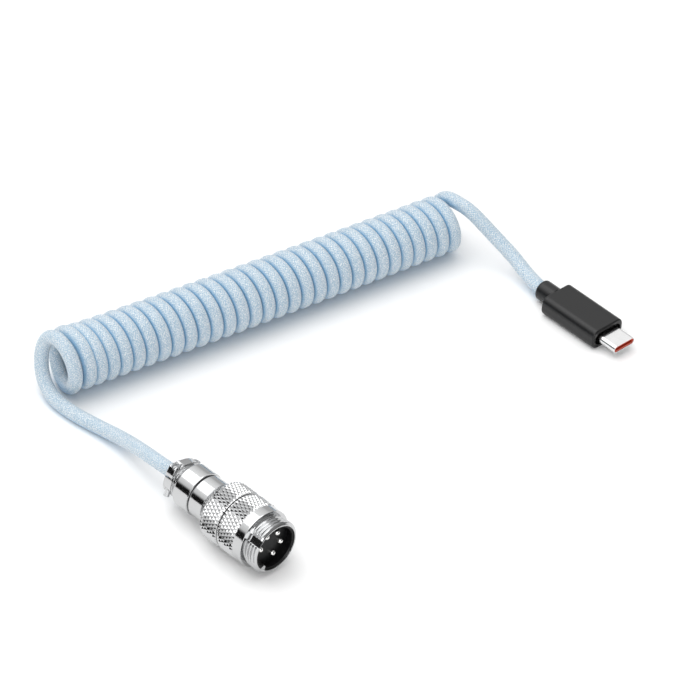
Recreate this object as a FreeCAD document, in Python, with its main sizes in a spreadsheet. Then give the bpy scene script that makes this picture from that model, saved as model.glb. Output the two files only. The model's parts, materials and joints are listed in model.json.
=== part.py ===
import FreeCAD, Part
import math
import os
import re
import Sketcher

# A coiled cable: an aviator connector, a coil of braided cord and a USB-C plug, lying on a floor
# at Z = 0.  Millimetres.  Both connectors point along -Y.  The origin is on the floor, under the
# middle of the box round the two connectors.

V = FreeCAD.Vector
OUT = "parts"

DIMENSIONS = {
    # Cord and coil.
    "cord_diameter": 4.2,
    "coil_radius": 9.05,
    "coil_x": -63.5,
    "coil_y": 76.65,
    "coil_heading": -9.2,
    "coil_before": 5.3,
    "coil_length": 131.4,
    "coil_top": 134.1,
    "coil_gap": 0.3,
    "tail_meets_coil": 3.8,
    # Where each connector's front stands.
    "aviator_x": -69.5,
    "aviator_y": -20.15,
    "aviator_z": 9,
    "plug_x": 72.5,
    "plug_y": -13.3,
    "plug_z": 3.2,
    # Front shell, measured back from its front edge.
    "thread_radius": 8,
    "thread_depth": 0.6,
    "thread_pitch": 1,
    "thread_crest": 0.3,
    "thread_start": 0.6,
    "thread_chamfer": 0.5,
    "collar_radius": 8.83,
    "collar_start": 4.9,
    "knurl_radius": 9,
    "knurl_bevel": 0.25,
    "front_knurl_start": 8,
    "front_knurl_end": 14.5,
    "bore_radius": 6.92,
    "insert_end": 9,
    "spigot_radius": 6.9,
    "spigot_bore": 5.9,
    "spigot_end": 19.5,
    "keyway_width": 2.4,
    "keyway_depth": 0.9,
    "keyway_reach": 2,
    "keyway_turn": -54,
    "rib_radius": 0.75,
    "rib_place": 6.5,
    "rib_start": 0.5,
    "rib_length": 3.5,
    "rib_turn": -144,
    # Insert, pins and what is soldered to them.
    "insert_radius": 6.88,
    "lip_radius": 6.35,
    "lip_start": 0.55,
    "insert_face": 2.7,
    "pin_radius": 0.9,
    "pin_clearance": 0.03,
    "pin_place": 3.75,
    "pin_tip": 1.5,
    "pin_middle_turn": 38,
    "pin_spacing": 63,
    "cup_radius": 0.85,
    "cup_hole": 0.55,
    "cup_end": 12.5,
    "cup_depth": 2.4,
    "wire_entry": 2,
    "wire_straight_end": 16.5,
    "wire_gather": 26,
    "core_place": 0.95,
    "sleeve_radius": 1.2,
    "sleeve_start": 9.8,
    "sleeve_length": 4.2,
    "wire_radius": 0.45,
    "set_screw_radius": 0.9,
    "set_screw_hole": 0.95,
    "set_screw_hole_start": 6,
    "set_screw_hole_length": 4,
    "set_screw_inset": 0.1,
    "set_screw_place": 9.7,
    "set_screw_turn": 41,
    "slot_width": 0.3,
    "slot_depth": 0.4,
    # Seam rings and rear shell.
    "seam": 0.3,
    "seam_ring_radius": 8.55,
    "rear_knurl_end": 20.8,
    "rear_thread_bore": 7,
    "shoulder_end": 23.6,
    "shoulder_round": 1.6,
    "neck_radius": 6.35,
    "neck_bore": 5.3,
    "neck_end": 28.6,
    "neck_ring_radius": 6.05,
    # Cable clamp.
    "clamp_spigot_radius": 5.25,
    "clamp_spigot_start": 24.6,
    "barrel_radius": 6.7,
    "barrel_end": 34.6,
    "barrel_bevel": 0.25,
    "barrel_bore": 4.4,
    "barrel_bore_end": 33.4,
    "clamp_thread_radius": 5.9,
    "clamp_thread_depth": 0.35,
    "clamp_start": 36.8,
    "clamp_end": 39.6,
    "clamp_radius": 5.8,
    "clamp_bore": 2.95,
    "clamp_split": 1.2,
    "clamp_gap": 0.4,
    "clamp_turn": 20,
    "saddle_radius": 6,
    "screw_place": 4,
    "screw_radius": 0.85,
    "screw_hole": 0.9,
    "screw_hole_reach": 9,
    "screw_head_radius": 1.15,
    "screw_head_height": 0.9,
    "screw_seat": 3.9,
    "screw_seat_radius": 1.35,
    "screw_reach": 5,
    "grommet_radius": 2.9,
    "grommet_bore": 2.15,
    "grommet_start": 36.4,
    "grommet_stand": 0.4,
    "jacket_start": 30,
    "jacket_inset": 0.35,
    "ferrule_radius": 2.6,
    "ferrule_length": 3,
    # USB plug, measured back from the mouth.
    "shell_width": 8.25,
    "shell_height": 2.4,
    "shell_wall": 0.25,
    "shell_end": 9.5,
    "shell_out": 6.65,
    "liner_inset": 0.15,
    "liner_end": 9,
    "liner_clearance": 0.03,
    "slot_mouth_width": 6.9,
    "slot_mouth_height": 0.9,
    "slot_mouth_depth": 6,
    "contact_width": 0.25,
    "contact_thickness": 0.12,
    "contact_start": 1.4,
    "contact_length": 4.4,
    "contact_pitch": 0.5,
    "latch_width": 0.2,
    "latch_height": 0.5,
    "latch_place": 3.3,
    "housing_width": 12,
    "housing_height": 6.4,
    "housing_length": 21,
    "housing_corner": 2.3,
    "housing_edge": 0.5,
    "recess_width": 10,
    "recess_height": 4.2,
    "recess_corner": 1.9,
    "recess_depth": 1.1,
    "cavity_width": 9.4,
    "cavity_height": 4.4,
    "cavity_corner": 0.8,
    "cavity_end": 25.4,
    "can_start": 8.1,
    "can_end": 20.5,
    "can_wall": 0.2,
    "can_corner": 0.7,
    "can_clearance": 0.05,
    "board_width": 8,
    "board_thickness": 0.8,
    "board_start": 9.7,
    "board_length": 9,
    "chip_width": 0.8,
    "chip_height": 0.4,
    "chip_length": 1.6,
    "collar_ring_radius": 3.1,
    "collar_ring_length": 5.8,
    "collar_ring_round": 0.8,
    "collar_ring_bore": 2.13,
    "plug_jacket_start": 23.5,
    "plug_wire_radius": 0.4,
    "plug_wire_lift": 0.02,
    "plug_wire_spacing": 1.7,
    "plug_wire_start": 16.4,
    "plug_wire_bend": 19,
    "plug_wire_gather": 21.4,
    "plug_ferrule_radius": 2.15,
    "plug_ferrule_length": 1.6,
    # How far a cutting tool runs past what it cuts.
    "overshoot": 1,
}

# Share of the shorter run that each arc of a cord or wire takes up.
ARC_SHARE = 0.45
# What stays flat on each half-round side of an oblong bar, so that its fillets don't meet.
OBLONG_FLAT = 0.01
PIN_COUNT = 5
CONTACTS_PER_ROW = 12
PLUG_WIRE_COUNT = 4
# Name, distance across the board and distance back from the mouth.
BOARD_PARTS = (("Resistor", -1.9, 12.5), ("Capacitor", 1.1, 13.2))

doc = FreeCAD.newDocument("AviatorCable")
sheet = doc.addObject("Spreadsheet::Sheet", "Dims")
for row, (alias, number) in enumerate(DIMENSIONS.items(), 1):
    sheet.set("A%d" % row, alias.replace("_", " "))
    sheet.set("B%d" % row, str(number))
    sheet.setAlias("B%d" % row, alias)
doc.recompute()

nodes = []


def bound(text):
    """The sheet expression for a sum of dimension words and numbers."""
    return re.sub(r"[a-z_]+", lambda word: "Dims." + word.group(), text)


def size(text):
    """The value of such a sum."""
    return float(sheet.evalExpression(bound(text)))


def around(place, turn):
    """Local X and Y of a point seen from the front, turned from the top towards +X."""
    angle = math.radians(turn)
    return place * math.sin(angle), -place * math.cos(angle)


# Stations: local Z runs back from a connector's front, and local -Y is up.

BACKWARD = FreeCAD.Rotation(V(1, 0, 0), -90)


def station(name, turn=0):
    rotation = BACKWARD.multiply(FreeCAD.Rotation(V(0, 0, 1), turn))
    return [name + "_x", name + "_y", name + "_z"], rotation


AVIATOR = station("aviator")
CLAMP = station("aviator", size("clamp_turn"))
PLUG = station("plug")


def node(item, label, where=None):
    """Label a sub-part, put it at its station and list it for export."""
    item.Label = label
    if where:
        names, rotation = where
        item.Placement = FreeCAD.Placement(V(*[size(name) for name in names]), rotation)
        for axis, name in zip("xyz", names):
            item.setExpression("Placement.Base." + axis, bound(name))
    nodes.append(item)
    return item


# Building blocks.


def outline_sketch(body, name, role, points):
    """A closed outline on one of the body's own planes, every corner bound to the sheet."""
    sketch = body.newObject("Sketcher::SketchObject", name)
    plane = [item for item in body.Origin.OriginFeatures if item.Role == role][0]
    sketch.AttachmentSupport = [(plane, "")]
    sketch.MapMode = "FlatFace"
    corners = [V(size(across), size(along), 0) for across, along in points]
    count = len(corners)
    for index in range(count):
        line = Part.LineSegment(corners[index], corners[(index + 1) % count])
        sketch.addGeometry(line, False)
    for index in range(count):
        sketch.addConstraint(Sketcher.Constraint("Coincident", index, 2, (index + 1) % count, 1))
    for index, (corner, texts) in enumerate(zip(corners, points)):
        for kind, text, number, axis in (
            ("DistanceX", texts[0], corner.x, -2),
            ("DistanceY", texts[1], corner.y, -1),
        ):
            if abs(number) < 1e-9:
                sketch.addConstraint(Sketcher.Constraint("PointOnObject", index, 1, axis))
                continue
            place = sketch.addConstraint(Sketcher.Constraint(kind, -1, 1, index, 1, number))
            sketch.setExpression("Constraints[%d]" % place, bound(text))
    return sketch


def turned(name, points):
    """A body turned about its Z axis: points are radius and distance from the front."""
    body = doc.addObject("PartDesign::Body", name)
    sketch = outline_sketch(body, name + "_outline", "XZ_Plane", points)
    doc.recompute()
    feature = body.newObject("PartDesign::Revolution", name + "_turn")
    feature.Profile = sketch
    feature.ReferenceAxis = (sketch, ["V_Axis"])
    feature.Angle = 360
    doc.recompute()
    return body


def ring(name, outer, inner, start, end):
    return turned(name, [(inner, start), (outer, start), (outer, end), (inner, end)])


def bar(name, width, height, start, end, corner):
    """A bar along Z with rounded long edges."""
    body = doc.addObject("PartDesign::Body", name)
    left, right = "-(%s) / 2" % width, "(%s) / 2" % width
    low, high = "-(%s) / 2" % height, "(%s) / 2" % height
    corners = [(left, low), (right, low), (right, high), (left, high)]
    sketch = outline_sketch(body, name + "_outline", "XY_Plane", corners)
    sketch.setExpression(".AttachmentOffset.Base.z", bound(start))
    doc.recompute()
    pad = body.newObject("PartDesign::Pad", name + "_pad")
    pad.Profile = sketch
    pad.setExpression("Length", bound("(%s) - (%s)" % (end, start)))
    doc.recompute()
    return softened(body, corner, lambda edge: abs(edge.tangentAt(edge.FirstParameter).z) > 0.99)


def softened(body, radius, wanted):
    """Round every edge of the body's tip that the test wants."""
    tip = body.Tip
    names = ["Edge%d" % n for n, edge in enumerate(tip.Shape.Edges, 1) if wanted(edge)]
    fillet = body.newObject("PartDesign::Fillet", "%s_round_%d" % (body.Name, len(body.Group)))
    fillet.Base = (tip, names)
    fillet.setExpression("Radius", bound(radius))
    doc.recompute()
    body.Tip = fillet
    return body


def rim(radius, along):
    """A test for the circular edge of one radius at one distance from the front."""
    want, height = size(radius), size(along)

    def wanted(edge):
        curve = edge.Curve
        if not hasattr(curve, "Radius") or not hasattr(curve, "Center"):
            return False
        return abs(curve.Radius - want) < 0.01 and abs(curve.Center.z - height) < 0.01

    return wanted


def cylinder(name, radius, start, length, place=(0, 0)):
    item = doc.addObject("Part::Cylinder", name)
    item.setExpression("Radius", bound(radius))
    item.setExpression("Height", bound(length))
    item.Placement = FreeCAD.Placement(V(place[0], place[1], size(start)), FreeCAD.Rotation())
    item.setExpression("Placement.Base.z", bound(start))
    return item


def upright(name, radius, bottom, height, x, z):
    """A cylinder whose axis points up, from a height below the connector's axis."""
    item = doc.addObject("Part::Cylinder", name)
    item.setExpression("Radius", bound(radius))
    item.setExpression("Height", bound(height))
    item.Placement = FreeCAD.Placement(V(x, -size(bottom), z), FreeCAD.Rotation(V(1, 0, 0), 90))
    return item


def block(name, width, height, length, corner, rotation=None):
    item = doc.addObject("Part::Box", name)
    item.setExpression("Length", bound(width))
    item.setExpression("Width", bound(height))
    item.setExpression("Height", bound(length))
    item.Placement = FreeCAD.Placement(corner, rotation or FreeCAD.Rotation())
    return item


def fuse(name, items):
    result = doc.addObject("Part::MultiFuse", name)
    result.Shapes = items
    return result


def cut(name, base, tools):
    result = doc.addObject("Part::Cut", name)
    result.Base = base
    result.Tool = tools[0] if len(tools) == 1 else fuse(name + "_tools", tools)
    return result


def group(name, items):
    result = doc.addObject("Part::Compound", name)
    result.Links = items
    return result


def tube(name, points, radius, report=False):
    """A round tube along straight runs joined by tangent arcs."""
    edges = []
    radii = []
    here = points[0]
    for before, corner, after in zip(points, points[1:], points[2:]):
        back, ahead = before - corner, after - corner
        half_turn = (math.pi - back.getAngle(ahead)) / 2
        setback = ARC_SHARE * min(back.Length, ahead.Length)
        bend = setback / math.tan(half_turn)
        radii.append(bend)
        back.normalize()
        ahead.normalize()
        inward = back + ahead
        inward.normalize()
        start, end = corner + back * setback, corner + ahead * setback
        middle = corner + inward * (bend / math.cos(half_turn) - bend)
        edges.append(Part.LineSegment(here, start).toShape())
        edges.append(Part.Arc(start, middle, end).toShape())
        here = end
    edges.append(Part.LineSegment(here, points[-1]).toShape())
    path = Part.Wire(edges)
    section = Part.Wire(Part.Circle(points[0], points[1] - points[0], radius).toShape())
    solid = path.makePipeShell([section], True, False)
    expected = math.pi * radius**2 * path.Length
    if report:
        print(name, "length %.1f" % path.Length, "radii", [round(bend, 1) for bend in radii])
    if abs(solid.Volume / expected - 1) > 0.01:
        raise RuntimeError(name + ": the tube's volume is not its section times its length")
    item = doc.addObject("Part::Feature", name)
    item.Shape = solid
    return item


# Aviator connector.


def front_shell():
    """Thread, collar and knurled band, bored for the insert."""
    root = "thread_radius - thread_depth"
    slope = "(thread_pitch - thread_crest) / 2"
    points = [
        ("bore_radius", "0"),
        ("thread_radius - thread_chamfer", "0"),
        ("thread_radius", "thread_start"),
    ]
    crests = int((size("collar_start") - size("thread_start")) / size("thread_pitch"))
    for crest in range(crests):
        front = "thread_start + %d * thread_pitch" % crest
        points.append(("thread_radius", front + " + thread_crest"))
        points.append((root, front + " + thread_crest + " + slope))
        if crest < crests - 1:
            points.append(("thread_radius", front + " + thread_pitch"))
    points += [
        (root, "collar_start"),
        ("collar_radius - knurl_bevel", "collar_start"),
        ("collar_radius", "collar_start + knurl_bevel"),
        ("collar_radius", "front_knurl_start"),
        ("knurl_radius", "front_knurl_start + knurl_bevel"),
        ("knurl_radius", "front_knurl_end - knurl_bevel"),
        ("knurl_radius - knurl_bevel", "front_knurl_end"),
        ("spigot_radius", "front_knurl_end"),
        ("spigot_radius", "spigot_end"),
        ("spigot_bore", "spigot_end"),
        ("spigot_bore", "insert_end"),
        ("bore_radius", "insert_end"),
    ]
    shell = turned("FrontShellTurned", points)
    depth = size("thread_radius - keyway_depth")
    turn = FreeCAD.Rotation(V(0, 0, 1), size("keyway_turn"))
    corner = turn.multVec(V(-size("keyway_width") / 2, -depth - size("keyway_reach"), -size("overshoot")))
    keyway = block("Keyway", "keyway_width", "keyway_reach", "collar_start + overshoot", corner, turn)
    hole = doc.addObject("Part::Cylinder", "SetScrewHole")
    hole.setExpression("Radius", bound("set_screw_hole"))
    hole.setExpression("Height", bound("set_screw_hole_length"))
    hole.Placement = set_screw_place(size("set_screw_hole_start"))
    ribs = cylinder(
        "KeyRib", "rib_radius", "rib_start", "rib_length", around(size("rib_place"), size("rib_turn"))
    )
    return fuse("FrontShell", [cut("FrontShellCut", shell, [keyway, hole]), ribs])


def set_screw_place(distance):
    """On the set screw's axis, at a distance from the connector's axis, pointing outward."""
    x, y = around(1, size("set_screw_turn"))
    outward = V(x, y, 0)
    rotation = FreeCAD.Rotation(V(0, 0, 1), outward)
    return FreeCAD.Placement(outward * distance + V(0, 0, size("set_screw_place")), rotation)


def insert_screw():
    stem = doc.addObject("Part::Cylinder", "SetScrewStem")
    stem.setExpression("Radius", bound("set_screw_radius"))
    height = "knurl_radius - set_screw_inset - bore_radius"
    stem.setExpression("Height", bound(height))
    slot = block(
        "SetScrewSlot",
        "4 * set_screw_radius",
        "slot_width",
        "2 * slot_depth",
        V(-2 * size("set_screw_radius"), -size("slot_width") / 2, 0),
    )
    slot.setExpression("Placement.Base.z", bound(height + " - slot_depth"))
    screw = cut("SetScrew", stem, [slot])
    screw.Placement = FreeCAD.Placement(
        V(size("aviator_x"), size("aviator_y"), size("aviator_z")), BACKWARD
    ).multiply(set_screw_place(size("bore_radius")))
    return screw


def pin_turns():
    middle = (PIN_COUNT - 1) / 2
    return [
        size("pin_middle_turn") + (number - middle) * size("pin_spacing")
        for number in range(PIN_COUNT)
    ]


def pin_insulator():
    cup = turned(
        "InsulatorTurned",
        [
            ("0", "insert_face"),
            ("lip_radius", "insert_face"),
            ("lip_radius", "lip_start"),
            ("insert_radius", "lip_start"),
            ("insert_radius", "insert_end"),
            ("0", "insert_end"),
        ],
    )
    tools = []
    for number, turn in enumerate(pin_turns(), 1):
        place = around(size("pin_place"), turn)
        radius = "pin_radius + pin_clearance"
        tools.append(cylinder("PinHole%d" % number, radius, "0", "insert_end + overshoot", place))
    notch = cylinder(
        "RibNotch",
        "rib_radius + pin_clearance",
        "0",
        "rib_start + rib_length + pin_clearance",
        around(size("rib_place"), size("rib_turn")),
    )
    return cut("Insulator", cup, tools + [notch])


def contact_pin(number, turn):
    x, y = around(size("pin_place"), turn)
    name = "Pin%d" % number
    stem = cylinder(
        name + "Stem", "pin_radius", "pin_tip + pin_radius", "insert_end - pin_tip - pin_radius", (x, y)
    )
    dome = doc.addObject("Part::Sphere", name + "Dome")
    dome.setExpression("Radius", bound("pin_radius"))
    dome.Placement = FreeCAD.Placement(V(x, y, size("pin_tip + pin_radius")), FreeCAD.Rotation())
    cup = cylinder(name + "Cup", "cup_radius", "insert_end", "cup_end - insert_end", (x, y))
    hole = cylinder(name + "CupHole", "cup_hole", "cup_end - cup_depth", "cup_depth + overshoot", (x, y))
    return cut(name, fuse(name + "Solid", [stem, dome, cup]), [hole])


def solder_sleeves():
    items = []
    for number, turn in enumerate(pin_turns(), 1):
        place = around(size("pin_place"), turn)
        name = "Sleeve%d" % number
        outer = cylinder(name + "Outer", "sleeve_radius", "sleeve_start", "sleeve_length", place)
        radius = "cup_radius + pin_clearance"
        inner = cylinder(
            name + "Inner", radius, "sleeve_start - overshoot", "sleeve_length + 2 * overshoot", place
        )
        items.append(cut(name, outer, [inner]))
    return group("SolderSleeves", items)


def aviator_wire(number, turn):
    """From a solder cup to the end of the cord's jacket."""
    cup = around(size("pin_place"), turn)
    core = around(size("core_place"), turn)
    stops = [
        (cup, "cup_end - wire_entry"),
        (cup, "wire_straight_end"),
        (core, "wire_gather"),
        (core, "jacket_start"),
    ]
    points = [V(x, y, size(along)) for (x, y), along in stops]
    return tube("AviatorWire%d" % number, points, size("wire_radius"))


def rear_shell():
    """Knurled band with a rounded shoulder, and the neck that takes the clamp."""
    front = "front_knurl_end + seam"
    shell = turned(
        "RearShell",
        [
            ("rear_thread_bore", front),
            ("knurl_radius - knurl_bevel", front),
            ("knurl_radius", front + " + knurl_bevel"),
            ("knurl_radius", "rear_knurl_end"),
            ("neck_radius", "shoulder_end"),
            ("neck_radius", "neck_end"),
            ("neck_bore", "neck_end"),
            ("neck_bore", "spigot_end + seam"),
            ("rear_thread_bore", "spigot_end + seam"),
        ],
    )
    return softened(shell, "shoulder_round", rim("knurl_radius", "rear_knurl_end"))


def screw_sides():
    return (("Left", -size("screw_place")), ("Right", size("screw_place")))


def clamp_middle():
    return size("clamp_start + clamp_end") / 2


def clamp_body():
    """Barrel, threaded neck and the lower half of the clamp."""
    root = "clamp_thread_radius - clamp_thread_depth"
    pitch = "(clamp_start - barrel_end) / 3"
    points = [
        ("barrel_bore", "clamp_spigot_start"),
        ("clamp_spigot_radius", "clamp_spigot_start"),
        ("clamp_spigot_radius", "neck_end + seam"),
        ("barrel_radius - barrel_bevel", "neck_end + seam"),
        ("barrel_radius", "neck_end + seam + barrel_bevel"),
        ("barrel_radius", "barrel_end - barrel_bevel"),
        ("barrel_radius - barrel_bevel", "barrel_end"),
        (root, "barrel_end"),
    ]
    for crest in range(2):
        points.append(("clamp_thread_radius", "barrel_end + %s * (%d + 0.5)" % (pitch, crest)))
        points.append((root, "barrel_end + %s * (%d + 1)" % (pitch, crest)))
    points += [
        (root, "clamp_start"),
        ("clamp_radius", "clamp_start"),
        ("clamp_radius", "clamp_end"),
        ("clamp_bore", "clamp_end"),
        ("clamp_bore", "barrel_bore_end"),
        ("barrel_bore", "barrel_bore_end"),
    ]
    base = turned("ClampTurned", points)
    reach = 2 * size("saddle_radius")
    corner = V(-reach, -size("clamp_split") - reach, size("clamp_start"))
    return cut("ClampBody", base, [clamp_block("ClampUpperPart", corner)] + screw_holes("ClampHole"))


def clamp_block(name, corner):
    """A block that clears one part of the clamp's length."""
    return block(name, "4 * saddle_radius", "2 * saddle_radius", "2 * saddle_radius", corner)


def screw_holes(name):
    return [
        upright(
            name + side, "screw_hole", "-screw_hole_reach", "2 * screw_hole_reach", x, clamp_middle()
        )
        for side, x in screw_sides()
    ]


def clamp_saddle():
    """The upper part of the clamp, with a flat seat for each screw."""
    base = ring("SaddleTurned", "saddle_radius", "clamp_bore", "clamp_start", "clamp_end")
    reach = 2 * size("saddle_radius")
    corner = V(-reach, -size("clamp_split + clamp_gap"), size("clamp_start"))
    tools = [clamp_block("SaddleLowerPart", corner)] + screw_holes("SaddleHole")
    for side, x in screw_sides():
        name = "SaddleSeat" + side
        tools.append(
            upright(name, "screw_seat_radius", "screw_seat", "saddle_radius", x, clamp_middle())
        )
    return cut("ClampSaddle", base, tools)


def clamp_screws():
    items = []
    for side, x in screw_sides():
        name = "ClampScrew" + side
        middle = clamp_middle()
        length = "screw_seat + screw_reach"
        stem = upright(name + "Stem", "screw_radius", "-screw_reach", length, x, middle)
        head = upright(
            name + "Head", "screw_head_radius", "screw_seat", "screw_head_height", x, middle
        )
        top = size("screw_seat + screw_head_height")
        left = x - size("screw_seat_radius")
        corner = V(left, -top - size("overshoot"), middle - size("slot_width") / 2)
        slot = block(
            name + "Slot", "2 * screw_seat_radius", "slot_depth + overshoot", "slot_width", corner
        )
        items.append(cut(name, fuse(name + "Solid", [stem, head]), [slot]))
    return group("ClampScrews", items)


# USB plug.


def oblong(name, width, height, start, end):
    """A bar whose short sides are half round."""
    return bar(name, width, height, start, end, "(%s) / 2 - %s" % (height, OBLONG_FLAT))


def usb_shell():
    outer = oblong("UsbShellOuter", "shell_width", "shell_height", "0", "shell_end")
    inside = ("shell_width - 2 * shell_wall", "shell_height - 2 * shell_wall")
    inner = oblong("UsbShellInner", *inside, "-overshoot", "shell_end + overshoot")
    return cut("UsbShell", outer, [inner])


def mouth_liner():
    trim = "2 * (shell_wall + liner_clearance)"
    outer = oblong(
        "LinerOuter", "shell_width - " + trim, "shell_height - " + trim, "liner_inset", "liner_end"
    )
    sizes = ("slot_mouth_width", "slot_mouth_height")
    slot = oblong("LinerSlot", *sizes, "-overshoot", "slot_mouth_depth")
    return cut("MouthLiner", outer, [slot])


def contact_row(name, top):
    """One row of flat contacts on the roof or the floor of the slot."""
    items = []
    y = -size("slot_mouth_height") / 2
    if not top:
        y = -y - size("contact_thickness")
    for number in range(CONTACTS_PER_ROW):
        x = (number - (CONTACTS_PER_ROW - 1) / 2) * size("contact_pitch")
        corner = V(x - size("contact_width") / 2, y, size("contact_start"))
        strip = block(
            "%s%d" % (name, number + 1),
            "contact_width",
            "contact_thickness",
            "contact_length",
            corner,
        )
        items.append(strip)
    return group(name, items)


def latch_springs():
    items = []
    for side, sign in (("Left", -1), ("Right", 1)):
        corner = V(
            sign * size("latch_place") - size("latch_width") / 2,
            -size("latch_height") / 2,
            size("contact_start"),
        )
        sizes = ("latch_width", "latch_height", "contact_length")
        items.append(block("Latch" + side, *sizes, corner))
    return group("LatchSprings", items)


def plug_housing():
    """Rounded housing, recessed round the shell, hollow for the board, bored for the cord."""
    end = "shell_out + housing_length"
    outer = bar(
        "HousingOuter", "housing_width", "housing_height", "shell_out", end, "housing_corner"
    )
    ends = (size("shell_out"), size(end))

    def end_edge(edge):
        box = edge.BoundBox
        return box.ZLength < 1e-6 and min(abs(box.ZMin - along) for along in ends) < 1e-6

    softened(outer, "housing_edge", end_edge)
    recess = bar(
        "HousingRecess",
        "recess_width",
        "recess_height",
        "shell_out - overshoot",
        "shell_out + recess_depth",
        "recess_corner",
    )
    opening = oblong(
        "HousingOpening",
        "shell_width + 2 * liner_clearance",
        "shell_height + 2 * liner_clearance",
        "shell_out",
        "can_start + overshoot",
    )
    sizes = ("cavity_width", "cavity_height")
    cavity = bar("HousingCavity", *sizes, "can_start", "cavity_end", "cavity_corner")
    bore = cylinder("HousingBore", "collar_ring_bore", "cavity_end - overshoot", "housing_length")
    return cut("Housing", outer, [recess, opening, cavity, bore])


def plug_collar():
    start = "shell_out + housing_length"
    end = start + " + collar_ring_length"
    collar = ring("PlugCollar", "collar_ring_radius", "collar_ring_bore", start, end)
    return softened(collar, "collar_ring_round", rim("collar_ring_radius", end))


def shield_can():
    width, height = "cavity_width - 2 * can_clearance", "cavity_height - 2 * can_clearance"
    start = "can_start + 2 * can_clearance"
    outer = bar("CanOuter", width, height, start, "can_end", "can_corner")
    thin = " - 2 * can_wall"
    start, end = "can_start - overshoot", "can_end + overshoot"
    corner = "can_corner - can_wall"
    inner = bar("CanInner", width + thin, height + thin, start, end, corner)
    return cut("ShieldCan", outer, [inner])


def paddle_board():
    corner = V(-size("board_width") / 2, -size("board_thickness") / 2, size("board_start"))
    return block("PaddleBoard", "board_width", "board_thickness", "board_length", corner)


def board_parts():
    """A resistor and a capacitor on the underside of the board."""
    items = []
    under = size("board_thickness") / 2
    for name, x, along in BOARD_PARTS:
        items.append(block(name, "chip_width", "chip_height", "chip_length", V(x, under, along)))
    return group("BoardParts", items)


def plug_wires():
    """Four conductors from the board's top to the end of the cord's jacket."""
    items = []
    radius = size("plug_wire_radius")
    top = -size("board_thickness / 2 + plug_wire_radius + plug_wire_lift")
    for number in range(PLUG_WIRE_COUNT):
        across = (number - (PLUG_WIRE_COUNT - 1) / 2) * size("plug_wire_spacing")
        x, y = around(2 * radius, (number - (PLUG_WIRE_COUNT - 1) / 2) * 360 / PLUG_WIRE_COUNT)
        points = [
            V(across, top, size("plug_wire_start")),
            V(across, top, size("plug_wire_bend")),
            V(x, y, size("plug_wire_gather")),
            V(x, y, size("plug_jacket_start")),
        ]
        items.append(tube("PlugWire%d" % (number + 1), points, radius))
    return group("PlugWires", items)


# Cord.

HEADING = FreeCAD.Rotation(V(0, 0, 1), size("coil_heading"))
COIL_START = V(size("coil_x"), size("coil_y"), size("coil_radius"))
TURN_RADIUS = size("coil_radius - cord_diameter / 2")


def on_coil(along, forward, height):
    """World point from the coil's start: along its axis, out to its front, and up from its axis."""
    return COIL_START + HEADING.multVec(V(along, -forward, height))


def coil_tube(name, start, end):
    """Hollow tube of the coil's outer shape, from one distance along the axis to another."""
    inner = "coil_radius - cord_diameter"
    item = ring(name, "coil_radius", inner, start, end)
    rotation = HEADING.multiply(FreeCAD.Rotation(V(0, 1, 0), 90))
    item.Placement = FreeCAD.Placement(COIL_START, rotation)
    return item


# The cord's route from under the coil's near end to the aviator connector's clamp.
CLAMP_MOUTH = V(size("aviator_x"), size("aviator_y + clamp_end"), size("aviator_z"))
AVIATOR_ROUTE = [
    on_coil(-size("tail_meets_coil"), 0, -TURN_RADIUS),
    V(-68.7, 71.5, 2.1),
    V(-68.4, 63.0, 2.1),
    V(-66.8, 53.5, 2.4),
    V(-66.5, 44.2, 4.2),
    V(-69.3, 32.2, 8.3),
    CLAMP_MOUTH,
]

# The cord's route from over the coil's far end down to the plug.
PLUG_MOUTH = V(size("plug_x"), size("plug_y + shell_out + housing_length + collar_ring_length"), 0)
PLUG_MOUTH.z = size("plug_z")
PLUG_ROUTE = [
    on_coil(size("coil_top"), 0, TURN_RADIUS),
    V(71.0, 49.2, 15.0),
    V(73.0, 41.4, 9.8),
    V(74.0, 33.6, 6.2),
    V(72.9, 25.4, 3.6),
    PLUG_MOUTH,
]


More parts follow.
